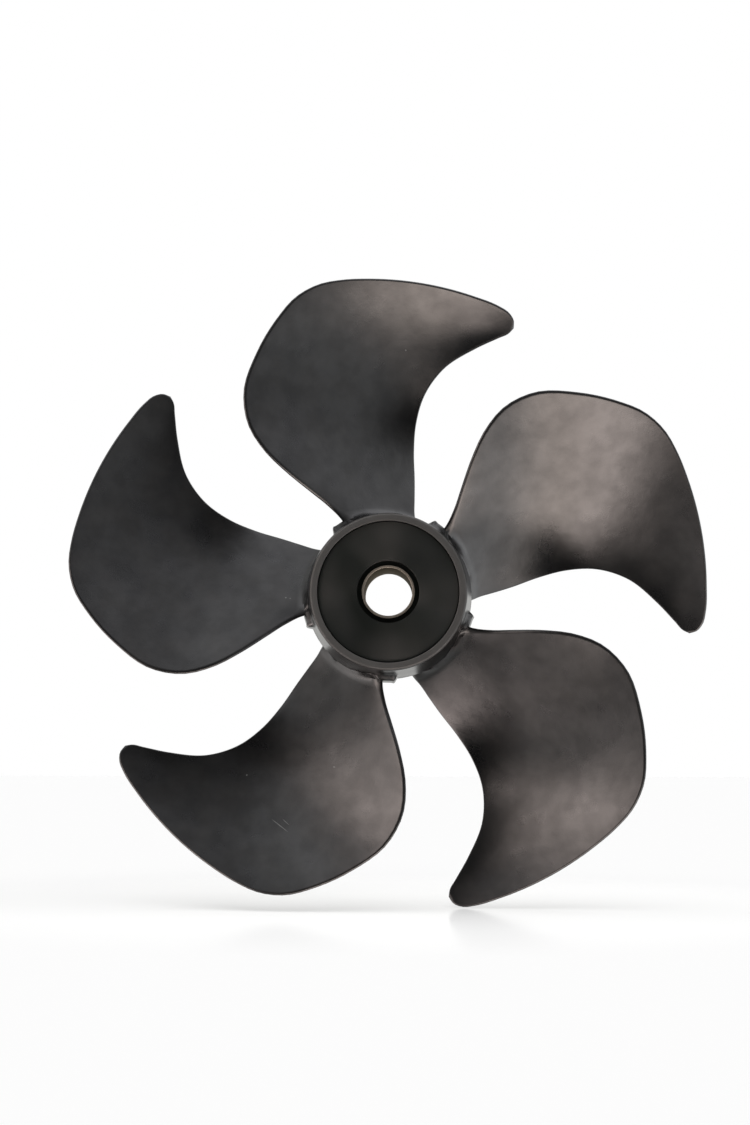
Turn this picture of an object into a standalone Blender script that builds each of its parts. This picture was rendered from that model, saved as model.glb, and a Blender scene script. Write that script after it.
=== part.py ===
"""Five-bladed skewed propeller of a 250 mm tunnel thruster, with its hub, core and shaft bush.

Units are metres. The shaft axis is Y: the nut side of the hub faces -Y and the drive side +Y.
The origin is on the axis, in the plane of the hub's rear rim. Blade 1 points up (+Z), and the
others follow clockwise as seen from the nut side.
"""

import math

import bmesh
import bpy
import numpy as np
from mathutils import Matrix

# Overall sizes
TIP_RADIUS = 0.1225
BLADE_COUNT = 5
HUB_LENGTH = 0.046
JOINT_GAP = 0.0003

# Barrel of the hub, as radii with their height above the rear rim
BARREL_FRONT_RADIUS = 0.0286
BARREL_SHOULDER_RADIUS = 0.0292
BARREL_PARTING_RADIUS = 0.0317
BARREL_REAR_RADIUS = 0.0308
BARREL_PARTING_HEIGHT = 0.022
BARREL_EDGE_ROUND = 0.0009
BARREL_BORE_RADIUS = 0.0266
BARREL_STEPS = 80

# Pads that stand on the barrel in front of each leading edge
PAD_ANGLE = math.radians(-37.6)
PAD_WIDTH = 0.0048
PAD_DEPTH = 0.0060
PAD_LENGTH = 0.0090
PAD_TOP_RADIUS = 0.0335
PAD_HEIGHT = 0.0300
PAD_ROUND = 0.0007

# Core: the front disc, the web behind it and the boss for the drive pin
CORE_RADIUS = BARREL_BORE_RADIUS - JOINT_GAP
DISC_RECESS = 0.0010
GROOVE_RADIUS = 0.0117
GROOVE_RECESS = 0.0040
WEB_THICKNESS = 0.0180
BOSS_RADIUS = 0.0150
BOSS_SET_BACK = 0.0030
BOSS_BORE_RADIUS = 0.0120
CORE_STEPS = 72
RIB_WIDTH = 0.0026
RIB_SET_BACK = 0.0060
RIB_ANGLE = math.radians(-8.0)
PIN_SLOT_WIDTH = 0.0062
PIN_SLOT_DEPTH = 0.0055

# Bush that lines the bore
BUSH_BORE_RADIUS = 0.0090
BUSH_RADIUS = 0.0099
BUSH_LENGTH = 0.0275
BUSH_RECESS = 0.0017
BUSH_CHAMFER = 0.0003
BUSH_STEPS = 64

# Blade outline in plan, as (radius, angle clockwise from the blade's own upright)
LEADING_EDGE = (
    (0.0321, -31.8),
    (0.0354, -32.4),
    (0.0410, -34.3),
    (0.0485, -37.3),
    (0.0597, -40.2),
    (0.0709, -41.2),
    (0.0821, -40.0),
    (0.0932, -36.0),
    (0.1044, -28.6),
    (0.1132, -22.1),
    (0.1190, -17.3),
    (0.1219, -12.6),
    (0.1225, -8.2),
)
TRAILING_EDGE = (
    (0.0321, 18.8),
    (0.0354, 16.3),
    (0.0410, 14.0),
    (0.0485, 11.8),
    (0.0597, 9.3),
    (0.0709, 8.6),
    (0.0821, 9.8),
    (0.0932, 13.2),
    (0.1044, 19.0),
    (0.1116, 22.8),
    (0.1146, 24.2),
    (0.1173, 24.7),
)
TIP_ARC_END = 20.5
TIP_ARC_STEP = 5.0
TIP_CORNER = ((0.1219, 22.6), (0.1200, 24.1), (0.1173, 24.7))

# Blade surface, with values at the barrel, one third and two thirds of the span, and the tip
PITCH = (0.170, 0.286, 0.251, 0.216)
CENTRE_HEIGHT = (0.0156, 0.0099, 0.0187, 0.0292)
HOLLOW = (0.0046, 0.0024, 0.0044, 0.0008)
BEND = (0.0020, 0.0006, 0.0005, -0.0015)
ROOT_THICKNESS = 0.0062
TIP_THICKNESS = 0.0020
EDGE_THICKNESS = 0.0014
FILLET_THICKNESS = 0.0030
FILLET_REACH = 0.0025
EDGE_ROUND = 0.00045
CHORD_CELLS = 10
SPAN_CELLS = 28
TIP_CROWDING = 1.4


def make_material(name, color, roughness, metallic):
    material = bpy.data.materials.new(name)
    material.use_nodes = True
    shader = material.node_tree.nodes["Principled BSDF"]
    shader.inputs["Base Color"].default_value = (*color, 1.0)
    shader.inputs["Roughness"].default_value = roughness
    shader.inputs["Metallic"].default_value = metallic
    return material


def clear_scene():
    for obj in list(bpy.data.objects):
        bpy.data.objects.remove(obj, do_unlink=True)


def make_collection(name):
    collection = bpy.data.collections.new(name)
    bpy.context.scene.collection.children.link(collection)
    return collection


def add_object(name, mesh, collection, material=None):
    obj = bpy.data.objects.new(name, mesh)
    collection.objects.link(obj)
    if material:
        mesh.materials.append(material)
    return obj


def mark_as_cutter(obj):
    obj.hide_render = True
    obj.display_type = "WIRE"


def add_boolean(obj, other, operation):
    modifier = obj.modifiers.new(other.name, "BOOLEAN")
    modifier.operation = operation
    modifier.solver = "EXACT"
    modifier.object = other


def turned(name, profile, steps, collection, material=None):
    """A solid of revolution about the shaft, from (radius, height above the rear rim) points."""
    mesh = bpy.data.meshes.new(name)
    points = [(radius, 0.0, height) for radius, height in profile]
    edges = [(i, (i + 1) % len(points)) for i in range(len(points))]
    mesh.from_pydata(points, edges, [])
    obj = add_object(name, mesh, collection, material)
    obj.rotation_euler = (math.radians(90), 0.0, 0.0)
    screw = obj.modifiers.new("Turn", "SCREW")
    screw.axis = "Z"
    screw.angle = math.tau
    screw.steps = steps
    screw.render_steps = steps
    screw.use_smooth_shade = True
    return obj


def box_on_hub(name, size, angle, centre, collection, bevel=0.0):
    """A box of size (across, radial, axial) whose centre is (radius, height above the rear rim)."""
    mesh = bpy.data.meshes.new(name)
    box = bmesh.new()
    bmesh.ops.create_cube(box, size=1.0)
    across, radial, axial = size
    bmesh.ops.scale(box, vec=(across, axial, radial), verts=box.verts)
    box.to_mesh(mesh)
    box.free()
    radius, height = centre
    mesh.transform(Matrix.Translation((0.0, -height, radius)))
    obj = add_object(name, mesh, collection)
    obj.rotation_euler = (0.0, angle, 0.0)
    if bevel:
        rounding = obj.modifiers.new("Round", "BEVEL")
        rounding.width = bevel
        rounding.segments = 2
    mark_as_cutter(obj)
    return obj


def blade_angles():
    return [index * math.tau / BLADE_COUNT for index in range(BLADE_COUNT)]


def barrel_profile():
    """The barrel's section: down the outside from the nut side, then up its bore."""
    front = HUB_LENGTH
    edge = BARREL_EDGE_ROUND
    return (
        (BARREL_BORE_RADIUS + 0.4 * edge, front),
        (BARREL_FRONT_RADIUS - 0.5 * edge, front),
        (BARREL_FRONT_RADIUS, front - 0.3 * edge),
        (BARREL_SHOULDER_RADIUS, front - 1.3 * edge),
        (BARREL_PARTING_RADIUS, BARREL_PARTING_HEIGHT),
        (BARREL_REAR_RADIUS, edge),
        (BARREL_REAR_RADIUS - edge, 0.0),
        (BARREL_BORE_RADIUS, 0.0),
        (BARREL_BORE_RADIUS, front - 0.4 * edge),
    )


def make_barrel(collection, helpers, material):
    barrel = turned("hub_barrel", barrel_profile(), BARREL_STEPS, collection, material)
    size = (PAD_WIDTH, PAD_DEPTH, PAD_LENGTH)
    centre = (PAD_TOP_RADIUS - PAD_DEPTH / 2, PAD_HEIGHT)
    for index, angle in enumerate(blade_angles()):
        pad = box_on_hub(f"pad_{index + 1}", size, angle + PAD_ANGLE, centre, helpers, PAD_ROUND)
        add_boolean(barrel, pad, "UNION")
    return barrel


def core_profile():
    """The core's section: the front disc, its rim, the web, the boss and the groove."""
    disc = HUB_LENGTH - DISC_RECESS
    groove = HUB_LENGTH - GROOVE_RECESS
    web_back = disc - WEB_THICKNESS
    bush_hole = BUSH_RADIUS + JOINT_GAP
    bush_end = HUB_LENGTH - BUSH_RECESS - BUSH_LENGTH
    return (
        (GROOVE_RADIUS, disc),
        (CORE_RADIUS, disc),
        (CORE_RADIUS, web_back),
        (BOSS_RADIUS, web_back),
        (BOSS_RADIUS, BOSS_SET_BACK),
        (BOSS_BORE_RADIUS, BOSS_SET_BACK),
        (BOSS_BORE_RADIUS, bush_end),
        (bush_hole, bush_end),
        (bush_hole, groove),
        (GROOVE_RADIUS, groove),
    )


def make_core(collection, helpers, material):
    core = turned("hub_core", core_profile(), CORE_STEPS, collection, material)
    overlap = 0.0010
    web_back = HUB_LENGTH - DISC_RECESS - WEB_THICKNESS
    inner = BOSS_RADIUS - overlap
    outer = CORE_RADIUS - overlap / 5
    low = RIB_SET_BACK
    high = web_back + overlap
    size = (RIB_WIDTH, outer - inner, high - low)
    centre = ((outer + inner) / 2, (high + low) / 2)
    for index, angle in enumerate(blade_angles()):
        rib = box_on_hub(f"rib_{index + 1}", size, angle + RIB_ANGLE, centre, helpers)
        add_boolean(core, rib, "UNION")
    slot_size = (3 * BOSS_RADIUS, PIN_SLOT_WIDTH, 2 * PIN_SLOT_DEPTH)
    slot = box_on_hub("pin_slot", slot_size, 0.0, (0.0, BOSS_SET_BACK), helpers)
    add_boolean(core, slot, "DIFFERENCE")
    return core


def make_bush(collection, material):
    top = HUB_LENGTH - BUSH_RECESS
    low = top - BUSH_LENGTH
    chamfer = BUSH_CHAMFER
    profile = (
        (BUSH_BORE_RADIUS + chamfer, top),
        (BUSH_RADIUS, top),
        (BUSH_RADIUS, low),
        (BUSH_BORE_RADIUS + chamfer, low),
        (BUSH_BORE_RADIUS, low + chamfer),
        (BUSH_BORE_RADIUS, top - chamfer),
    )
    return turned("shaft_bush", profile, BUSH_STEPS, collection, material)


def plan_point(radius, degrees):
    angle = math.radians(degrees)
    return (radius * math.sin(angle), radius * math.cos(angle))


def smooth_curve(polar_points, share):
    """A point at the given share of the length of a smooth curve through the polar points."""
    points = np.array([plan_point(*point) for point in polar_points])
    lengths = np.linalg.norm(np.diff(points, axis=0), axis=1)
    knots = np.concatenate([[0.0], np.cumsum(lengths)])
    slopes = np.gradient(points, knots, axis=0)
    place = share * knots[-1]
    i = min(int(np.searchsorted(knots, place, side="right")) - 1, len(lengths) - 1)
    t = (place - knots[i]) / lengths[i]
    start, end = points[i], points[i + 1]
    leave, arrive = slopes[i] * lengths[i], slopes[i + 1] * lengths[i]
    return (
        (2 * t**3 - 3 * t**2 + 1) * start
        + (t**3 - 2 * t**2 + t) * leave
        + (3 * t**2 - 2 * t**3) * end
        + (t**3 - t**2) * arrive
    )


def leading_curve():
    """The leading edge, the arc that follows the tunnel wall, and the rounded tip."""
    start = LEADING_EDGE[-1][1]
    count = round((TIP_ARC_END - start) / TIP_ARC_STEP)
    arc = [
        (TIP_RADIUS, start + (TIP_ARC_END - start) * step / count)
        for step in range(1, count + 1)
    ]
    return (*LEADING_EDGE, *arc, *TIP_CORNER)


def span_share(radius):
    """How far out along the blade a radius is: 0 at the barrel, 1 at the tips' circle."""
    return (radius - BARREL_PARTING_RADIUS) / (TIP_RADIUS - BARREL_PARTING_RADIUS)


def along_span(values, span):
    """The smooth curve through values at the barrel, a third, two thirds and all of the span."""
    root, third, two_thirds, tip = values
    from_third, from_two_thirds, from_tip = span - 1 / 3, span - 2 / 3, span - 1
    return 4.5 * (
        -from_third * from_two_thirds * from_tip * root
        + 3 * span * from_two_thirds * from_tip * third
        - 3 * span * from_third * from_tip * two_thirds
        + span * from_third * from_two_thirds * tip
    )


def blade_height(radius, angle, across):
    """Height above the rear rim of the blade's middle surface, which is hollow on the nut side."""
    span = span_share(radius)
    arch = 4 * across * (1 - across)
    helix = along_span(PITCH, span) * angle / math.tau
    hollow = along_span(HOLLOW, span) * arch
    bend = along_span(BEND, span) * arch * (1 - 2 * across)
    return along_span(CENTRE_HEIGHT, span) - helix - hollow + bend


def blade_thickness(radius, across):
    span = span_share(radius)
    full = ROOT_THICKNESS + (TIP_THICKNESS - ROOT_THICKNESS) * span
    fillet = FILLET_THICKNESS * math.exp(-(radius - BARREL_PARTING_RADIUS) / FILLET_REACH)
    belly = (4 * across * (1 - across)) ** 0.75
    return EDGE_THICKNESS + (full - EDGE_THICKNESS) * belly + fillet * (0.2 + 0.8 * belly)


def blade_grid():
    """Points of the blade's middle surface with their thickness, from root to tip."""
    lead = leading_curve()
    rows = []
    for row in range(SPAN_CELLS + 1):
        share = 1 - (1 - row / SPAN_CELLS) ** TIP_CROWDING
        lead_x, lead_z = smooth_curve(lead, share)
        trail_x, trail_z = smooth_curve(TRAILING_EDGE, share)
        lead_polar = (math.hypot(lead_x, lead_z), math.atan2(lead_x, lead_z))
        trail_polar = (math.hypot(trail_x, trail_z), math.atan2(trail_x, trail_z))
        cells = 0 if row == SPAN_CELLS else CHORD_CELLS
        points = []
        for column in range(cells + 1):
            across = 0.5 - 0.5 * math.cos(math.pi * column / cells) if cells else 0.0
            radius = lead_polar[0] + (trail_polar[0] - lead_polar[0]) * across
            angle = lead_polar[1] + (trail_polar[1] - lead_polar[1]) * across
            height = blade_height(radius, angle, across)
            place = (radius * math.sin(angle), -height, radius * math.cos(angle))
            points.append((place, blade_thickness(radius, across)))
        rows.append(points)
    return rows


def blade_mesh():
    """The blade's middle surface, and the thickness at each of its vertices."""
    rows = blade_grid()
    mesh = bpy.data.meshes.new("blade_surface")
    surface = bmesh.new()
    verts = [[surface.verts.new(place) for place, _ in row] for row in rows]
    for near, far in zip(verts, verts[1:]):
        for column in range(CHORD_CELLS):
            if len(far) == 1:
                surface.faces.new((near[column], near[column + 1], far[0]))
            else:
                surface.faces.new(
                    (near[column], near[column + 1], far[column + 1], far[column])
                )
    surface.to_mesh(mesh)
    surface.free()
    mesh.shade_smooth()
    return mesh, [thickness for row in rows for _, thickness in row]


def make_blade(name, angle, mesh, thicknesses, collection, material):
    obj = add_object(name, mesh, collection, material if not mesh.materials else None)
    obj.rotation_euler = (0.0, angle, 0.0)
    full = max(thicknesses)
    group = obj.vertex_groups.new(name="thickness")
    for index, thickness in enumerate(thicknesses):
        group.add([index], thickness / full, "REPLACE")
    solidify = obj.modifiers.new("Thickness", "SOLIDIFY")
    solidify.thickness = full
    solidify.offset = 0.0
    solidify.vertex_group = "thickness"
    rounding = obj.modifiers.new("Round edges", "BEVEL")
    rounding.width = EDGE_ROUND
    rounding.segments = 2
    rounding.limit_method = "ANGLE"
    rounding.angle_limit = math.radians(55)
    return obj


def main():
    clear_scene()
    propeller = make_collection("tunnel_thruster_propeller")
    helpers = make_collection("cutters")
    moulding = make_material("moulded_black", (0.030, 0.029, 0.029), 0.42, 0.0)
    core_black = make_material("core_black", (0.016, 0.016, 0.014), 0.36, 0.0)
    bush_metal = make_material("bush_metal", (0.36, 0.35, 0.32), 0.35, 1.0)
    make_barrel(propeller, helpers, moulding)
    make_core(propeller, helpers, core_black)
    make_bush(propeller, bush_metal)
    mesh, thicknesses = blade_mesh()
    for index, angle in enumerate(blade_angles()):
        make_blade(f"blade_{index + 1}", angle, mesh, thicknesses, propeller, moulding)


main()
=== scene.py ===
"""Looks of the tunnel thruster propeller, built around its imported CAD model.

Units are metres, in the CAD's frame: the shaft axis is Y, the nut side of the hub faces -Y, the
origin is on the axis in the plane of the hub's rear rim, and blade 1 points up (+Z). Turned shapes
are given as (radius, height above the rear rim), where the height runs towards -Y.
"""

import math

import bmesh
import bpy
import numpy as np
from mathutils import Matrix, Vector


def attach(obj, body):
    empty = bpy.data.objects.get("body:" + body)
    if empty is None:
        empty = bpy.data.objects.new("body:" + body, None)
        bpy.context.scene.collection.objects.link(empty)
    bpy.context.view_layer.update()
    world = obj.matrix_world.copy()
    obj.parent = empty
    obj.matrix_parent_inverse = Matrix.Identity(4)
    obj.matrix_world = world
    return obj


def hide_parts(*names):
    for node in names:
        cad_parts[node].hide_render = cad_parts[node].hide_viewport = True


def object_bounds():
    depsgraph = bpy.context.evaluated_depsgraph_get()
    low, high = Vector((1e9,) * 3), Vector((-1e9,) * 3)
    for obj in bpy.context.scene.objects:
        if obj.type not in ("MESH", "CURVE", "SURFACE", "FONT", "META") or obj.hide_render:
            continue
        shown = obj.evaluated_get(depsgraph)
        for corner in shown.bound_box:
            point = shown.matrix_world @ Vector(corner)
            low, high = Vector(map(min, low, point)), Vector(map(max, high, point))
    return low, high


# Overall sizes
TIP_RADIUS = 0.1225
BLADE_COUNT = 5
HUB_LENGTH = 0.046
FIT_GAP = 0.00002

# Barrel of the hub
BARREL_FRONT_RADIUS = 0.0290
BARREL_SHOULDER_RADIUS = 0.0296
BARREL_PARTING_RADIUS = 0.0317
BARREL_REAR_RADIUS = 0.0308
BARREL_PARTING_HEIGHT = 0.022
BARREL_SHOULDER_HEIGHT = HUB_LENGTH - 0.00117
BARREL_EDGE_ROUND = 0.0008
BARREL_FINE_ROUND = 0.0003
BARREL_BORE_RADIUS = 0.0266
BARREL_OUTSIDE = BARREL_BORE_RADIUS + 0.0010
PARTING_LINE_HEIGHT = 0.00012
PARTING_LINE_WIDTH = 0.0006

# Pads that stand on the barrel in front of each leading edge
PAD_ANGLE = math.radians(-35.0)
PAD_HALF_WIDTH = 0.0034
PAD_HALF_LENGTH = 0.0045
PAD_HEIGHT = 0.0300
PAD_RISE = 0.0022
PAD_WALL = 0.0025
NUB_RISE = 0.0004
NUB_SIZE = 0.0009
NUB_OFFSET = 0.8 * PAD_HALF_WIDTH

# Core: the front disc, the web behind it and the boss for the drive pin
CORE_RADIUS = BARREL_BORE_RADIUS - FIT_GAP
DISC_LINE_WIDTH = 0.0003
DISC_LINE_DEPTH = 0.0015
DISC_RADIUS = BARREL_BORE_RADIUS - DISC_LINE_WIDTH
DISC_RECESS = 0.0010
GROOVE_RADIUS = 0.0117
GROOVE_RECESS = 0.0040
WEB_THICKNESS = 0.0180
BOSS_RADIUS = 0.0150
BOSS_SET_BACK = 0.0030
BOSS_BORE_RADIUS = 0.0120
RIB_WIDTH = 0.0026
RIB_SET_BACK = 0.0060
RIB_ANGLE = math.radians(-8.0)
RIB_OVERLAP = 0.0010
RIB_CLEARANCE = 0.0002
RIB_ROUND = 0.0004
PIN_SLOT_WIDTH = 0.0062
PIN_SLOT_DEPTH = 0.0055
PIN_SLOT_LENGTH = 3 * BOSS_RADIUS

# Bush that lines the bore
BUSH_BORE_RADIUS = 0.0090
BUSH_RADIUS = 0.0099
BUSH_LENGTH = 0.0275
BUSH_RECESS = 0.0017
BUSH_CHAMFER = 0.0003
BUSH_EDGE_ROUND = 0.0001

# Blade outline in plan, as (radius, angle clockwise from the blade's own upright)
LEADING_EDGE = (
    (0.0284, -31.8),
    (0.0321, -31.8),
    (0.0354, -32.4),
    (0.0410, -34.3),
    (0.0485, -37.3),
    (0.0597, -40.2),
    (0.0709, -41.2),
    (0.0821, -40.0),
    (0.0932, -36.0),
    (0.1044, -28.6),
    (0.1132, -22.1),
    (0.1190, -17.3),
    (0.1219, -12.6),
    (0.1225, -8.2),
)
TRAILING_EDGE = (
    (0.0284, 21.2),
    (0.0321, 18.8),
    (0.0354, 16.3),
    (0.0410, 14.0),
    (0.0485, 11.8),
    (0.0597, 9.3),
    (0.0709, 8.6),
    (0.0821, 9.8),
    (0.0932, 13.2),
    (0.1044, 19.0),
    (0.1116, 22.8),
    (0.1146, 24.2),
    (0.1173, 24.7),
)
TIP_ARC_END = 20.5
TIP_ARC_STEP = 5.0
TIP_CORNER = ((0.1219, 22.6), (0.1200, 24.1), (0.1173, 24.7))

# Blade surface. Four values are those at the barrel, a third and two thirds of the span, and the tip
PITCH = (0.170, 0.286, 0.251, 0.216)
CENTRE_HEIGHT = (0.0156, 0.0099, 0.0187, 0.0292)
HOLLOW = (0.0046, 0.0024, 0.0044, 0.0008)
BEND = (0.0020, 0.0006, 0.0005, -0.0015)
ROOT_THICKNESS = 0.0062
TIP_THICKNESS = 0.0020
EDGE_THICKNESS = 0.0014
BELLY_FULLNESS = 0.75
FULL_BELLY_CHORD = 0.030
HOLLOW_CHORD = 0.017
FILLET_RADIUS = 0.0028
FILLET_STEEPEST = 0.985
EDGE_FILLET_SHARE = 0.5
DRIVE_FILLET_SHARE = 0.8
DRIVE_FILLET_FADE = 0.6
LARGEST_EDGE_SHARE = 0.45
THIN_TIP_CHORD = 3 * EDGE_THICKNESS
SHORTEST_CHORD = 1e-6
SMALLEST_ROUND = 4e-7

# Mesh density, how close points are welded, and from which angle on edges stay sharp
ROOT_ROWS = 10
SPAN_ROWS = 64
EDGE_COLUMNS = 5
FACE_COLUMNS = 34
ROUND_STEPS = 5
TURNED_STEPS = 192
BARREL_STEP = 0.0009
ROOT_REACH = 0.09
ROOT_CROWDING = 1.2
TIP_CROWDING = 1.4
PAD_FINE_REACH = math.radians(8.0)
PAD_FINE_STEP = math.radians(0.4)
PAD_FINE_STATIONS = 40
PAD_COARSE_GAPS = 38
WELD_DISTANCE = 0.00002
MOULDING_SHARP_DEGREES = 38
TURNED_SHARP_DEGREES = 35

# Colours of the moulding, its cut rim and its small marks, of the core and of the bush
MOULDING_DARK = (0.0050, 0.0050, 0.0054, 1.0)
MOULDING_LIGHT = (0.0085, 0.0078, 0.0074, 1.0)
RIM_COLOR = (0.050, 0.047, 0.044, 1.0)
RIM_ROUGHNESS = 0.26
RIM_OUTER_RADIUS = 0.0294
RIM_DEPTH = 0.0012
MARK_COLOR = (0.12, 0.12, 0.115, 1.0)
CORE_COLOR = (0.0043, 0.0056, 0.0043, 1.0)
BUSH_COLOR = (0.22, 0.20, 0.17, 1.0)
BUSH_EDGE_TINT = (0.30, 0.28, 0.25, 1.0)

# Specks and scratches on the blades as (place (x, z), half size, turn in degrees)
MARKS = (
    ((0.0065, 0.0973), (0.00035, 0.00035), 0),
    ((-0.0549, -0.0686), (0.00030, 0.00030), 0),
    ((-0.0207, -0.0654), (0.00040, 0.00025), 20),
    ((-0.0395, -0.0008), (0.00035, 0.00025), 0),
    ((-0.0378, -0.0011), (0.00025, 0.00020), 0),
    ((-0.0413, -0.0875), (0.00390, 0.00015), 36),
    ((-0.0390, -0.0862), (0.00180, 0.00010), 41),
)

# Camera, fitted to the photograph
CAMERA_PLACE = (0.0081, -0.7897, -0.0595)
CAMERA_TILT = math.radians(5.4)
CAMERA_SWING = math.radians(1.0)
CAMERA_LENS = 96.0
SENSOR_WIDTH = 36.0

# Studio: soft lights that the object reflects, as (direction, strength, spread in degrees, colour)
WHITE = (1.0, 1.0, 1.0)
SOFT_LIGHTS = (
    ((-0.04, -0.58, -0.81), 10.0, 10.6, (1.00, 0.86, 0.80)),
    ((-0.84, -0.51, 0.18), 7.5, 10.3, (1.00, 0.85, 0.79)),
    ((-0.82, -0.09, -0.56), 7.0, 10.8, (1.00, 0.82, 0.77)),
    ((0.42, -0.50, -0.76), 8.0, 11.4, (1.00, 0.84, 0.75)),
    ((0.87, -0.01, -0.49), 2.6, 27.9, (0.97, 0.98, 1.00)),
    ((-0.53, -0.23, 0.81), 2.5, 14.3, (0.96, 0.97, 1.00)),
    ((-0.94, -0.03, -0.33), 2.3, 22.4, (1.00, 0.95, 0.93)),
    ((0.47, 0.03, 0.88), 1.8, 23.9, (0.95, 0.95, 1.00)),
    ((0.0, 1.0, 0.0), 1.0, 45.0, (1.00, 1.00, 0.97)),
)
OVERHEAD_STRENGTH = 3.0
OVERHEAD_TILT = math.radians(18)
OVERHEAD_SOFTNESS = math.radians(75)
FLOOR_SIZE = 8.0
FLOOR_COLOR = (0.60, 0.60, 0.60)
FLOOR_GLOW = 0.43
FLOOR_GLOSS_SHARE = 0.50
FLOOR_GLOSS_FULL = 0.05
FLOOR_GLOSS_END = 0.20
FLOOR_ROUGHNESS = 0.14


def new_object(name, mesh):
    obj = bpy.data.objects.new(name, mesh)
    bpy.context.scene.collection.objects.link(obj)
    return obj


def mesh_from_points(name, points, faces):
    mesh = bpy.data.meshes.new(name)
    mesh.from_pydata([tuple(point) for point in points], [], faces)
    mesh.update()
    return mesh


def turn_outward(mesh):
    work = bmesh.new()
    work.from_mesh(mesh)
    bmesh.ops.recalc_face_normals(work, faces=work.faces)
    work.to_mesh(mesh)
    work.free()


def smooth_shaded(mesh, sharp_degrees):
    mesh.shade_smooth()
    mesh.set_sharp_from_angle(angle=math.radians(sharp_degrees))


def apply_modifiers(obj):
    """Replaces the object's mesh by what its modifiers make of it."""
    depsgraph = bpy.context.evaluated_depsgraph_get()
    mesh = bpy.data.meshes.new_from_object(obj.evaluated_get(depsgraph))
    obj.modifiers.clear()
    obj.data = mesh


def combine(obj, other, operation):
    modifier = obj.modifiers.new(other.name, "BOOLEAN")
    modifier.operation = operation
    modifier.solver = "EXACT"
    modifier.object = other
    apply_modifiers(obj)
    bpy.data.objects.remove(other, do_unlink=True)


def weld_close_points(mesh):
    """Joins points that lie very close together, as along a union's seams and at blade tips."""
    work = bmesh.new()
    work.from_mesh(mesh)
    bmesh.ops.remove_doubles(work, verts=work.verts, dist=WELD_DISTANCE)
    bmesh.ops.dissolve_degenerate(work, edges=work.edges, dist=WELD_DISTANCE)
    work.to_mesh(mesh)
    work.free()


def rounded_profile(corners):
    """Points of a closed section from (radius, height, corner round), with arcs at the corners."""
    points = []
    count = len(corners)
    for index, (radius, height, fillet) in enumerate(corners):
        here = np.array([radius, height])
        before = np.array(corners[index - 1][:2]) - here
        after = np.array(corners[(index + 1) % count][:2]) - here
        before /= np.linalg.norm(before)
        after /= np.linalg.norm(after)
        if fillet == 0:
            points.append(tuple(here))
            continue
        half = math.acos(np.clip(before @ after, -1, 1)) / 2
        reach = fillet / math.tan(half)
        middle = before + after
        centre = here + middle / np.linalg.norm(middle) * fillet / math.sin(half)
        start = here + before * reach - centre
        end = here + after * reach - centre
        sweep = math.pi - 2 * half
        for step in range(ROUND_STEPS + 1):
            share = step / ROUND_STEPS
            weight_start = math.sin((1 - share) * sweep) / math.sin(sweep)
            weight_end = math.sin(share * sweep) / math.sin(sweep)
            points.append(tuple(centre + weight_start * start + weight_end * end))
    return points


def turned_mesh(name, profile, angles, rise=None):
    """A closed solid of revolution. rise(angle, height) lifts the points of its outer side."""
    points = []
    for angle in angles:
        for radius, height in profile:
            if rise and radius > BARREL_OUTSIDE:
                radius += rise(angle, height)
            points.append((radius * math.sin(angle), -height, radius * math.cos(angle)))
    rows, columns = len(angles), len(profile)
    faces = []
    for row in range(rows):
        following = (row + 1) % rows
        for column in range(columns):
            right = (column + 1) % columns
            faces.append(
                (
                    row * columns + column,
                    row * columns + right,
                    following * columns + right,
                    following * columns + column,
                )
            )
    mesh = mesh_from_points(name, points, faces)
    turn_outward(mesh)
    return mesh


def even_angles(count):
    return [index * math.tau / count for index in range(count)]


def blade_angles():
    return even_angles(BLADE_COUNT)


def step_up(value):
    """A smooth step from 0 to 1."""
    value = min(max(value, 0.0), 1.0)
    return value * value * (3 - 2 * value)


def pad_rise(angle, height):
    """How far the pads, their nubs and the mould's parting line stand out of the barrel."""
    pitch_angle = math.tau / BLADE_COUNT
    offset = (angle - PAD_ANGLE + pitch_angle / 2) % pitch_angle - pitch_angle / 2
    across = offset * BARREL_PARTING_RADIUS
    along = height - PAD_HEIGHT
    side = step_up((PAD_HALF_WIDTH + PAD_WALL / 2 - abs(across)) / PAD_WALL)
    end = step_up((PAD_HALF_LENGTH + PAD_WALL / 2 - abs(along)) / PAD_WALL)
    nub = NUB_RISE * math.exp(-(((across + NUB_OFFSET) / NUB_SIZE) ** 2)) * end
    line_distance = abs(height - BARREL_PARTING_HEIGHT) / PARTING_LINE_WIDTH
    line = PARTING_LINE_HEIGHT * step_up(1 - line_distance)
    return PAD_RISE * side * end + nub + line


def barrel_angles():
    """Stations round the barrel, close together at the pads."""
    pitch_angle = math.tau / BLADE_COUNT
    first = PAD_ANGLE - PAD_FINE_REACH
    fine = [first + PAD_FINE_STEP * step for step in range(PAD_FINE_STATIONS)]
    gap = first + pitch_angle - fine[-1]
    coarse = [fine[-1] + gap * step / PAD_COARSE_GAPS for step in range(1, PAD_COARSE_GAPS)]
    return [start + angle for start in blade_angles() for angle in (*fine, *coarse)]


def barrel_section():
    corners = rounded_profile(
        (
            (BARREL_FRONT_RADIUS, HUB_LENGTH, BARREL_EDGE_ROUND),
            (BARREL_SHOULDER_RADIUS, BARREL_SHOULDER_HEIGHT, BARREL_FINE_ROUND),
            (BARREL_PARTING_RADIUS, BARREL_PARTING_HEIGHT, 0.0),
            (BARREL_REAR_RADIUS, 0.0, BARREL_EDGE_ROUND),
            (BARREL_BORE_RADIUS, 0.0, BARREL_FINE_ROUND),
            (BARREL_BORE_RADIUS, HUB_LENGTH, BARREL_FINE_ROUND),
        )
    )
    return divide_outside(corners)


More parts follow.
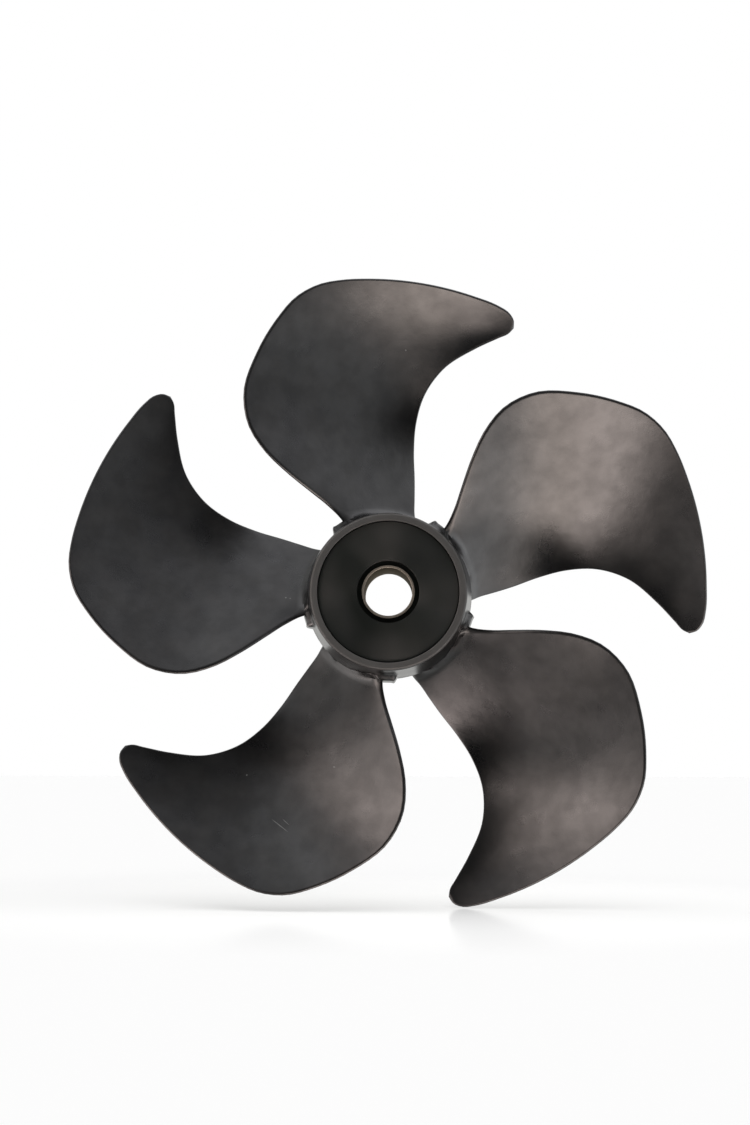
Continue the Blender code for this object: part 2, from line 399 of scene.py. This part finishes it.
def divide_outside(points):
    """Adds points along the outer side of a section, so that pads can rise there."""
    divided = []
    for index, start in enumerate(points):
        end = points[(index + 1) % len(points)]
        divided.append(start)
        outside = min(start[0], end[0]) > BARREL_OUTSIDE
        length = math.dist(start, end)
        if not outside or length < BARREL_STEP:
            continue
        count = math.ceil(length / BARREL_STEP)
        for step in range(1, count):
            share = step / count
            divided.append(
                (
                    start[0] + (end[0] - start[0]) * share,
                    start[1] + (end[1] - start[1]) * share,
                )
            )
    return divided


def barrel_radius(height):
    heights = (0.0, BARREL_PARTING_HEIGHT, BARREL_SHOULDER_HEIGHT, HUB_LENGTH)
    radii = (
        BARREL_REAR_RADIUS,
        BARREL_PARTING_RADIUS,
        BARREL_SHOULDER_RADIUS,
        BARREL_FRONT_RADIUS,
    )
    return np.interp(height, heights, radii)


def plan_point(radius, degrees):
    angle = math.radians(degrees)
    return (radius * math.sin(angle), radius * math.cos(angle))


def smooth_curve(polar_points, shares):
    """Points at the given shares of the length of a smooth curve through the polar points."""
    points = np.array([plan_point(*point) for point in polar_points])
    lengths = np.linalg.norm(np.diff(points, axis=0), axis=1)
    knots = np.concatenate([[0.0], np.cumsum(lengths)])
    slopes = np.gradient(points, knots, axis=0)
    curve = []
    for share in shares:
        place = share * knots[-1]
        i = min(int(np.searchsorted(knots, place, side="right")) - 1, len(lengths) - 1)
        t = (place - knots[i]) / lengths[i]
        leave, arrive = slopes[i] * lengths[i], slopes[i + 1] * lengths[i]
        curve.append(
            (2 * t**3 - 3 * t**2 + 1) * points[i]
            + (t**3 - 2 * t**2 + t) * leave
            + (3 * t**2 - 2 * t**3) * points[i + 1]
            + (t**3 - t**2) * arrive
        )
    return np.array(curve)


def leading_curve():
    """The leading edge, the arc that follows the tunnel wall, and the rounded tip."""
    start = LEADING_EDGE[-1][1]
    count = round((TIP_ARC_END - start) / TIP_ARC_STEP)
    arc = [
        (TIP_RADIUS, start + (TIP_ARC_END - start) * step / count)
        for step in range(1, count + 1)
    ]
    return (*LEADING_EDGE, *arc, *TIP_CORNER)


def row_shares():
    """How far along its edges each row of the blade lies: close together at root and tip."""
    root = np.linspace(0, 1, ROOT_ROWS, endpoint=False) ** ROOT_CROWDING * ROOT_REACH
    rest = 1 - (1 - np.linspace(0, 1, SPAN_ROWS)) ** TIP_CROWDING
    return np.concatenate([root, ROOT_REACH + rest * (1 - ROOT_REACH)])


def span_share(radius):
    """How far out along the blade a radius is: 0 at the barrel, 1 at the tips' circle."""
    span = (radius - BARREL_PARTING_RADIUS) / (TIP_RADIUS - BARREL_PARTING_RADIUS)
    return np.maximum(span, 0.0)


def along_span(values, span):
    """The smooth curve through values at the barrel, a third, two thirds and all of the span."""
    root, third, two_thirds, tip = values
    from_third, from_two_thirds, from_tip = span - 1 / 3, span - 2 / 3, span - 1
    return 4.5 * (
        -from_third * from_two_thirds * from_tip * root
        + 3 * span * from_two_thirds * from_tip * third
        - 3 * span * from_third * from_tip * two_thirds
        + span * from_third * from_two_thirds * tip
    )


def middle_surface(radius, angle, across, chord):
    """Height above the rear rim of the blade's middle surface, which is hollow on the nut side.

    The hollow fades out where the chord is short, at the rounded tip.
    """
    span = span_share(radius)
    arch = 4 * across * (1 - across) * (1 - np.exp(-((chord / HOLLOW_CHORD) ** 2)))
    helix = along_span(PITCH, span) * angle / math.tau
    hollow = along_span(HOLLOW, span) * arch
    bend = along_span(BEND, span) * arch * (1 - 2 * across)
    return along_span(CENTRE_HEIGHT, span) - helix - hollow + bend


def thickness_of_section(radius, across, chord):
    """Thickness of the blade, which is flatter where the blade is narrow near its tip."""
    span = span_share(radius)
    full = ROOT_THICKNESS + (TIP_THICKNESS - ROOT_THICKNESS) * span
    belly = (4 * across * (1 - across)) ** BELLY_FULLNESS
    belly = belly * np.minimum(1.0, chord / FULL_BELLY_CHORD)
    return EDGE_THICKNESS + (full - EDGE_THICKNESS) * belly


def fillet_offset(clearance):
    """How far the root fillet stands out where the barrel is this far away."""
    steep = np.clip(1 - clearance / FILLET_RADIUS, 0.0, FILLET_STEEPEST)
    return FILLET_RADIUS * (1 - np.sqrt(1 - steep**2))


def column_places(chord, edge_round):
    """Shares of the chord for the columns, and how full the rounded section is at each."""
    turn = np.linspace(0, math.pi / 2, EDGE_COLUMNS + 1)
    near = edge_round * (1 - np.cos(turn)) / chord
    fill = np.sin(turn)
    first, last = near[-1], 1 - near[-1]
    spread = 0.5 - 0.5 * np.cos(np.linspace(0, math.pi, FACE_COLUMNS + 1))
    face = first + (last - first) * spread
    places = np.concatenate([near[:-1], face, 1 - near[-2::-1]])
    fills = np.concatenate([fill[:-1], np.ones(len(face)), fill[-2::-1]])
    return places, fills


def rows_across(inner_radii, chords):
    """For each row, the places across its chord and how full the rounded section is there."""
    across, fills = [], []
    for radius, chord in zip(inner_radii, chords):
        extra = EDGE_FILLET_SHARE * fillet_offset(radius - BARREL_PARTING_RADIUS)
        edge_round = min(EDGE_THICKNESS / 2 + extra, LARGEST_EDGE_SHARE * chord)
        edge_round = max(edge_round, SMALLEST_ROUND)
        places, filled = column_places(max(chord, SHORTEST_CHORD), edge_round)
        across.append(places)
        fills.append(filled)
    return np.array(across), np.array(fills)


def nut_side_normals(grid):
    """Unit normals of a grid of points, turned towards the nut side."""
    normal = np.cross(np.gradient(grid, axis=0), np.gradient(grid, axis=1))
    normal[-1] = normal[-2]
    normal /= np.linalg.norm(normal, axis=-1, keepdims=True)
    return normal * np.where(normal[..., 1:2] > 0, -1, 1)


def blade_points():
    """Grids of the points of a blade's nut side and drive side, from the root to the tip."""
    shares = row_shares()
    lead = smooth_curve(leading_curve(), shares)
    trail = smooth_curve(TRAILING_EDGE, shares)
    lead_radius, lead_angle = np.hypot(*lead.T), np.arctan2(*lead.T)
    trail_radius, trail_angle = np.hypot(*trail.T), np.arctan2(*trail.T)
    chords = np.linalg.norm(lead - trail, axis=1)
    across, fills = rows_across(np.minimum(lead_radius, trail_radius), chords)
    radius = lead_radius[:, None] + (trail_radius - lead_radius)[:, None] * across
    angle = lead_angle[:, None] + (trail_angle - lead_angle)[:, None] * across
    height = middle_surface(radius, angle, across, chords[:, None])
    middle = np.stack([radius * np.sin(angle), -height, radius * np.cos(angle)], axis=-1)
    normal = nut_side_normals(middle)
    half = thickness_of_section(radius, across, chords[:, None]) / 2
    half *= np.minimum(1.0, chords / THIN_TIP_CHORD)[:, None]
    nut_fillet = fillet_offset(radius - barrel_radius(height))
    drive_fillet = nut_fillet * DRIVE_FILLET_SHARE * (1 - DRIVE_FILLET_FADE * across)
    nut = middle + normal * ((half + nut_fillet) * fills)[..., None]
    drive = middle - normal * ((half + drive_fillet) * fills)[..., None]
    return nut, drive


def blade_mesh():
    """One closed blade, with its root cap inside the barrel's wall."""
    nut, drive = blade_points()
    rows, columns = nut.shape[:2]
    loop = 2 * columns - 2
    rings = np.concatenate([nut, drive[:, -2:0:-1]], axis=1)
    points = [tuple(point) for ring in rings[:-1] for point in ring]
    tip = len(points)
    points.append(tuple(nut[-1].mean(axis=0)))
    faces = []
    for row in range(rows - 2):
        for column in range(loop):
            right = (column + 1) % loop
            near, far = row * loop, (row + 1) * loop
            faces.append((near + column, near + right, far + right, far + column))
    last = (rows - 2) * loop
    for column in range(loop):
        faces.append((last + column, last + (column + 1) % loop, tip))
    for column in range(columns - 1):
        drive_side = ((loop - column - 1) % loop, (loop - column) % loop)
        faces.append(tuple(dict.fromkeys((column, column + 1, *drive_side))))
    mesh = mesh_from_points("blade", points, faces)
    turn_outward(mesh)
    return mesh


def make_moulding():
    """The barrel, its pads and the five blades as one moulding."""
    barrel = turned_mesh("propeller_moulding", barrel_section(), barrel_angles(), pad_rise)
    moulding = new_object("propeller_moulding", barrel)
    blades = bmesh.new()
    blade = blade_mesh()
    for angle in blade_angles():
        copy = blade.copy()
        copy.transform(Matrix.Rotation(angle, 4, "Y"))
        blades.from_mesh(copy)
        bpy.data.meshes.remove(copy)
    joined = bpy.data.meshes.new("blades")
    blades.to_mesh(joined)
    blades.free()
    combine(moulding, new_object("blades", joined), "UNION")
    weld_close_points(moulding.data)
    smooth_shaded(moulding.data, MOULDING_SHARP_DEGREES)
    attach(moulding, "root")
    names = [f"blade_{index + 1}" for index in range(BLADE_COUNT)]
    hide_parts("hub_barrel", *names)
    return moulding


def hub_box(name, size, angle, centre, bevel):
    """A box of size (across, radial, axial) whose centre is (radius, height above the rear rim)."""
    across, radial, axial = size
    radius, height = centre
    work = bmesh.new()
    bmesh.ops.create_cube(work, size=1.0)
    bmesh.ops.scale(work, vec=(across, axial, radial), verts=work.verts)
    if bevel:
        bmesh.ops.bevel(
            work, geom=work.edges, offset=bevel, segments=3, affect="EDGES", profile=0.5
        )
    mesh = bpy.data.meshes.new(name)
    work.to_mesh(mesh)
    work.free()
    mesh.transform(Matrix.Translation((0.0, -height, radius)))
    mesh.transform(Matrix.Rotation(angle, 4, "Y"))
    return new_object(name, mesh)


def core_section():
    """Section of the core, where the last number of each corner is its round."""
    disc = HUB_LENGTH - DISC_RECESS
    line_end = disc - DISC_LINE_DEPTH
    groove = HUB_LENGTH - GROOVE_RECESS
    web_back = disc - WEB_THICKNESS
    bush_hole = BUSH_RADIUS + FIT_GAP
    bush_end = HUB_LENGTH - BUSH_RECESS - BUSH_LENGTH
    return rounded_profile(
        (
            (GROOVE_RADIUS, disc, 0.0002),
            (DISC_RADIUS, disc, 0.0001),
            (DISC_RADIUS, line_end, 0.0),
            (CORE_RADIUS, line_end, 0.0),
            (CORE_RADIUS, web_back, 0.0004),
            (BOSS_RADIUS, web_back, 0.0012),
            (BOSS_RADIUS, BOSS_SET_BACK, 0.0005),
            (BOSS_BORE_RADIUS, BOSS_SET_BACK, 0.0003),
            (BOSS_BORE_RADIUS, bush_end, 0.0),
            (bush_hole, bush_end, 0.0),
            (bush_hole, groove, 0.0),
            (GROOVE_RADIUS, groove, 0.0005),
        )
    )


def make_core():
    mesh = turned_mesh("core_moulding", core_section(), even_angles(TURNED_STEPS))
    core = new_object("core_moulding", mesh)
    inner = BOSS_RADIUS - RIB_OVERLAP
    outer = CORE_RADIUS - RIB_CLEARANCE
    low = RIB_SET_BACK
    high = HUB_LENGTH - DISC_RECESS - WEB_THICKNESS + RIB_OVERLAP
    size = (RIB_WIDTH, outer - inner, high - low)
    centre = ((outer + inner) / 2, (high + low) / 2)
    for angle in blade_angles():
        combine(core, hub_box("rib", size, angle + RIB_ANGLE, centre, RIB_ROUND), "UNION")
    slot_size = (PIN_SLOT_LENGTH, PIN_SLOT_WIDTH, 2 * PIN_SLOT_DEPTH)
    combine(core, hub_box("slot", slot_size, 0.0, (0.0, BOSS_SET_BACK), 0.0), "DIFFERENCE")
    smooth_shaded(core.data, TURNED_SHARP_DEGREES)
    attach(core, "root")
    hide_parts("hub_core")
    return core


def make_bush():
    top = HUB_LENGTH - BUSH_RECESS
    low = top - BUSH_LENGTH
    profile = rounded_profile(
        (
            (BUSH_BORE_RADIUS, top, BUSH_CHAMFER),
            (BUSH_RADIUS, top, 0.0),
            (BUSH_RADIUS, low, BUSH_EDGE_ROUND),
            (BUSH_BORE_RADIUS, low, BUSH_CHAMFER),
        )
    )
    mesh = turned_mesh("bush_liner", profile, even_angles(TURNED_STEPS))
    smooth_shaded(mesh, TURNED_SHARP_DEGREES)
    bush = new_object("bush_liner", mesh)
    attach(bush, "root")
    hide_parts("shaft_bush")
    return bush


def new_material(name):
    material = bpy.data.materials.new(name)
    material.use_nodes = True
    nodes = material.node_tree.nodes
    return material, nodes, material.node_tree.links, nodes["Principled BSDF"]


def add_noise(nodes, links, coordinates, scale, detail):
    noise = nodes.new("ShaderNodeTexNoise")
    noise.inputs["Scale"].default_value = scale
    noise.inputs["Detail"].default_value = detail
    links.new(coordinates, noise.inputs["Vector"])
    return noise.outputs["Fac"]


def add_range(nodes, links, source, low, high, start=0.35, end=0.65):
    """Maps values from start to end onto values from low to high."""
    mapped = nodes.new("ShaderNodeMapRange")
    mapped.inputs["From Min"].default_value = start
    mapped.inputs["From Max"].default_value = end
    mapped.inputs["To Min"].default_value = low
    mapped.inputs["To Max"].default_value = high
    links.new(source, mapped.inputs["Value"])
    return mapped.outputs["Result"]


def add_bump(nodes, links, shader, height, distance, strength, before=None):
    bump = nodes.new("ShaderNodeBump")
    bump.inputs["Distance"].default_value = distance
    bump.inputs["Strength"].default_value = strength
    links.new(height, bump.inputs["Height"])
    if before:
        links.new(before, bump.inputs["Normal"])
    links.new(bump.outputs["Normal"], shader.inputs["Normal"])
    return bump.outputs["Normal"]


def add_object_coordinates(nodes):
    return nodes.new("ShaderNodeTexCoord").outputs["Object"]


def add_math(nodes, links, operation, *values):
    """A math node on values that are either numbers or sockets."""
    node = nodes.new("ShaderNodeMath")
    node.operation = operation
    for index, value in enumerate(values):
        if isinstance(value, (int, float)):
            node.inputs[index].default_value = value
        else:
            links.new(value, node.inputs[index])
    return node.outputs["Value"]


def add_rim_mask(nodes, links, coordinates):
    """1 on the barrel's front rim, which is cut and not moulded, and 0 elsewhere."""
    place = nodes.new("ShaderNodeSeparateXYZ")
    links.new(coordinates, place.inputs["Vector"])
    flat = nodes.new("ShaderNodeCombineXYZ")
    links.new(place.outputs["X"], flat.inputs["X"])
    links.new(place.outputs["Z"], flat.inputs["Y"])
    length = nodes.new("ShaderNodeVectorMath")
    length.operation = "LENGTH"
    links.new(flat.outputs["Vector"], length.inputs[0])
    inside = add_math(nodes, links, "LESS_THAN", length.outputs["Value"], RIM_OUTER_RADIUS)
    front = add_math(nodes, links, "LESS_THAN", place.outputs["Y"], -HUB_LENGTH + RIM_DEPTH)
    return add_math(nodes, links, "MULTIPLY", inside, front)


def add_mark(nodes, links, coordinates, place, size, degrees):
    """1 on a small oval mark at (x, z) in the blades' plane, and 0 away from it."""
    mapping = nodes.new("ShaderNodeMapping")
    mapping.vector_type = "TEXTURE"
    mapping.inputs["Location"].default_value = (place[0], -HUB_LENGTH / 2, place[1])
    mapping.inputs["Rotation"].default_value = (0.0, math.radians(degrees), 0.0)
    mapping.inputs["Scale"].default_value = (size[0], 1.0, size[1])
    links.new(coordinates, mapping.inputs["Vector"])
    length = nodes.new("ShaderNodeVectorMath")
    length.operation = "LENGTH"
    links.new(mapping.outputs["Vector"], length.inputs[0])
    return add_range(nodes, links, length.outputs["Value"], low=1.0, high=0.0, start=0.7, end=1.1)


def add_color_mix(nodes, links, factor, first, second):
    """Mixes two colours, each a colour or a socket."""
    mix = nodes.new("ShaderNodeMix")
    mix.data_type = "RGBA"
    links.new(factor, mix.inputs["Factor"])
    for name, color in (("A", first), ("B", second)):
        socket = next(s for s in mix.inputs if s.name == name and s.type == "RGBA")
        if isinstance(color, tuple):
            socket.default_value = color
        else:
            links.new(color, socket)
    return next(s for s in mix.outputs if s.type == "RGBA")


def add_turning_marks(nodes, links, coordinates, scale):
    """Fine rings round the shaft axis."""
    rings = nodes.new("ShaderNodeTexWave")
    rings.wave_type = "RINGS"
    rings.rings_direction = "Y"
    rings.inputs["Scale"].default_value = scale
    links.new(coordinates, rings.inputs["Vector"])
    return rings.outputs["Fac"]


def moulding_material():
    """Satin black moulded plastic, faintly cloudy, with a cut rim and small marks."""
    material, nodes, links, shader = new_material("satin_black_moulding")
    coordinates = add_object_coordinates(nodes)
    cloud = add_noise(nodes, links, coordinates, scale=90.0, detail=3.0)
    grain = add_noise(nodes, links, coordinates, scale=1800.0, detail=2.0)
    patches = add_noise(nodes, links, coordinates, scale=130.0, detail=2.0)
    satin = add_range(nodes, links, cloud, low=0.27, high=0.31)
    gloss = add_range(nodes, links, patches, low=0.44, high=0.56)
    links.new(gloss, shader.inputs["Specular IOR Level"])
    clouded = add_range(nodes, links, cloud, low=0.0, high=1.0)
    plain = add_color_mix(nodes, links, clouded, MOULDING_DARK, MOULDING_LIGHT)
    rim = add_rim_mask(nodes, links, coordinates)
    rough = add_math(nodes, links, "MULTIPLY_ADD", rim, RIM_ROUGHNESS, satin)
    color = add_color_mix(nodes, links, rim, plain, RIM_COLOR)
    for mark in MARKS:
        scuff = add_mark(nodes, links, coordinates, *mark)
        color = add_color_mix(nodes, links, scuff, color, MARK_COLOR)
    links.new(rough, shader.inputs["Roughness"])
    links.new(color, shader.inputs["Base Color"])
    waves = add_bump(nodes, links, shader, cloud, distance=0.0004, strength=0.35)
    add_bump(nodes, links, shader, grain, distance=0.00003, strength=0.5, before=waves)
    return material


def core_material():
    """Nearly black plastic with soft clouds, and fine turning marks round the bore."""
    material, nodes, links, shader = new_material("dark_core")
    coordinates = add_object_coordinates(nodes)
    shader.inputs["Base Color"].default_value = CORE_COLOR
    shader.inputs["Anisotropic"].default_value = 0.9
    shader.inputs["Anisotropic Rotation"].default_value = 0.25
    tangent = nodes.new("ShaderNodeTangent")
    tangent.direction_type = "RADIAL"
    tangent.axis = "Y"
    links.new(tangent.outputs["Tangent"], shader.inputs["Tangent"])
    cloud = add_noise(nodes, links, coordinates, scale=120.0, detail=3.0)
    patches = add_noise(nodes, links, coordinates, scale=50.0, detail=1.0)
    satin = add_range(nodes, links, cloud, low=0.46, high=0.54)
    gloss = add_range(nodes, links, patches, low=0.24, high=0.54)
    links.new(satin, shader.inputs["Roughness"])
    links.new(gloss, shader.inputs["Specular IOR Level"])
    rings = add_turning_marks(nodes, links, coordinates, scale=900.0)
    add_bump(nodes, links, shader, rings, distance=0.00001, strength=0.4)
    return material


def bush_material():
    """Grey metal with turning marks."""
    material, nodes, links, shader = new_material("turned_bush_metal")
    coordinates = add_object_coordinates(nodes)
    shader.inputs["Metallic"].default_value = 1.0
    shader.inputs["Base Color"].default_value = BUSH_COLOR
    shader.inputs["Specular Tint"].default_value = BUSH_EDGE_TINT
    cloud = add_noise(nodes, links, coordinates, scale=300.0, detail=3.0)
    links.new(add_range(nodes, links, cloud, low=0.52, high=0.60), shader.inputs["Roughness"])
    rings = add_turning_marks(nodes, links, coordinates, scale=500.0)
    add_bump(nodes, links, shader, rings, distance=0.00002, strength=0.5)
    return material


def floor_material():
    """White sheet that is lit through from below, with a faint gloss under the propeller."""
    material, nodes, links, shader = new_material("white_floor")
    nodes.remove(shader)
    diffuse = nodes.new("ShaderNodeBsdfDiffuse")
    diffuse.inputs["Color"].default_value = (*FLOOR_COLOR, 1.0)
    gloss = nodes.new("ShaderNodeBsdfGlossy")
    gloss.inputs["Roughness"].default_value = FLOOR_ROUGHNESS
    mix = nodes.new("ShaderNodeMixShader")
    place = nodes.new("ShaderNodeMapping")
    place.inputs["Scale"].default_value = (1.0, 1.0, 0.0)
    links.new(add_object_coordinates(nodes), place.inputs["Vector"])
    away = nodes.new("ShaderNodeVectorMath")
    away.operation = "LENGTH"
    links.new(place.outputs["Vector"], away.inputs[0])
    share = add_range(
        nodes,
        links,
        away.outputs["Value"],
        low=FLOOR_GLOSS_SHARE,
        high=0.0,
        start=FLOOR_GLOSS_FULL,
        end=FLOOR_GLOSS_END,
    )
    grazing = nodes.new("ShaderNodeFresnel").outputs["Fac"]
    links.new(add_math(nodes, links, "MULTIPLY", grazing, share), mix.inputs["Fac"])
    links.new(diffuse.outputs["BSDF"], mix.inputs[1])
    links.new(gloss.outputs["BSDF"], mix.inputs[2])
    glow = nodes.new("ShaderNodeEmission")
    glow.inputs["Strength"].default_value = FLOOR_GLOW
    both = nodes.new("ShaderNodeAddShader")
    links.new(mix.outputs["Shader"], both.inputs[0])
    links.new(glow.outputs["Emission"], both.inputs[1])
    links.new(both.outputs["Shader"], nodes["Material Output"].inputs["Surface"])
    return material


def make_floor(level):
    half = FLOOR_SIZE / 2
    corners = [(-half, -half), (half, -half), (half, half), (-half, half)]
    mesh = mesh_from_points("floor", [(x, y, level) for x, y in corners], [(0, 1, 2, 3)])
    mesh.materials.append(floor_material())
    floor = new_object("floor", mesh)
    floor.visible_glossy = False


def add_lobe(nodes, links, direction, toward, spread):
    """A soft round patch of the surroundings: 1 towards its direction, falling off round it."""
    dot = nodes.new("ShaderNodeVectorMath")
    dot.operation = "DOT_PRODUCT"
    dot.inputs[1].default_value = Vector(toward).normalized()
    links.new(direction, dot.inputs[0])
    offset = add_math(nodes, links, "SUBTRACT", dot.outputs["Value"], 1.0)
    width = add_math(nodes, links, "DIVIDE", offset, math.radians(spread) ** 2)
    return add_math(nodes, links, "EXPONENT", width)


def make_studio():
    """A white background for the camera, and soft lights all round for the object."""
    world = bpy.data.worlds.new("studio")
    bpy.context.scene.world = world
    world.use_nodes = True
    nodes, links = world.node_tree.nodes, world.node_tree.links
    direction = nodes.new("ShaderNodeTexCoord").outputs["Generated"]
    total = None
    for toward, strength, spread, color in SOFT_LIGHTS:
        lobe = add_lobe(nodes, links, direction, toward, spread)
        add = nodes.new("ShaderNodeVectorMath")
        add.operation = "MULTIPLY_ADD"
        add.inputs[1].default_value = [strength * channel for channel in color]
        links.new(lobe, add.inputs[0])
        if total:
            links.new(total, add.inputs[2])
        total = add.outputs["Vector"]
    background = nodes["Background"]
    links.new(total, background.inputs["Color"])
    white = nodes.new("ShaderNodeBackground")
    white.inputs["Color"].default_value = (*WHITE, 1.0)
    path = nodes.new("ShaderNodeLightPath")
    mix = nodes.new("ShaderNodeMixShader")
    links.new(path.outputs["Is Camera Ray"], mix.inputs["Fac"])
    links.new(background.outputs["Background"], mix.inputs[1])
    links.new(white.outputs["Background"], mix.inputs[2])
    links.new(mix.outputs["Shader"], nodes["World Output"].inputs["Surface"])
    world.cycles_visibility.diffuse = False
    bpy.context.scene.view_settings.view_transform = "Standard"


def make_overhead_light():
    """A soft light from above, which lights the floor and lays the shadow on it."""
    data = bpy.data.lights.new("overhead", "SUN")
    data.energy = OVERHEAD_STRENGTH
    data.angle = OVERHEAD_SOFTNESS
    overhead = new_object("overhead", data)
    overhead.rotation_euler = (OVERHEAD_TILT, 0.0, 0.0)
    overhead.visible_glossy = False


def make_camera():
    data = bpy.data.cameras.new("camera")
    data.lens = CAMERA_LENS
    data.sensor_width = SENSOR_WIDTH
    data.sensor_fit = "HORIZONTAL"
    camera = new_object("camera", data)
    camera.matrix_world = (
        Matrix.Translation(CAMERA_PLACE)
        @ Matrix.Rotation(CAMERA_TILT, 4, "X")
        @ Matrix.Rotation(CAMERA_SWING, 4, "Z")
        @ Matrix.Rotation(math.radians(90), 4, "X")
    )
    bpy.context.scene.camera = camera


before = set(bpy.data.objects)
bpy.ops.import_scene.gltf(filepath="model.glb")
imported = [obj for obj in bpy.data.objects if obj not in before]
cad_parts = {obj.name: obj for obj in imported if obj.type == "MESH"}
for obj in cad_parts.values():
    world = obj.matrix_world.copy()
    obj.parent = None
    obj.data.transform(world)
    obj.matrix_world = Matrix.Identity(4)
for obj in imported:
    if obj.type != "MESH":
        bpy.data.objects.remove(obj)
cad_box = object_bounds()
make_camera()
moulding = make_moulding()
moulding.data.materials.append(moulding_material())
core = make_core()
core.data.materials.append(core_material())
bush = make_bush()
bush.data.materials.append(bush_material())
make_floor(cad_box[0].z)
make_studio()
make_overhead_light()
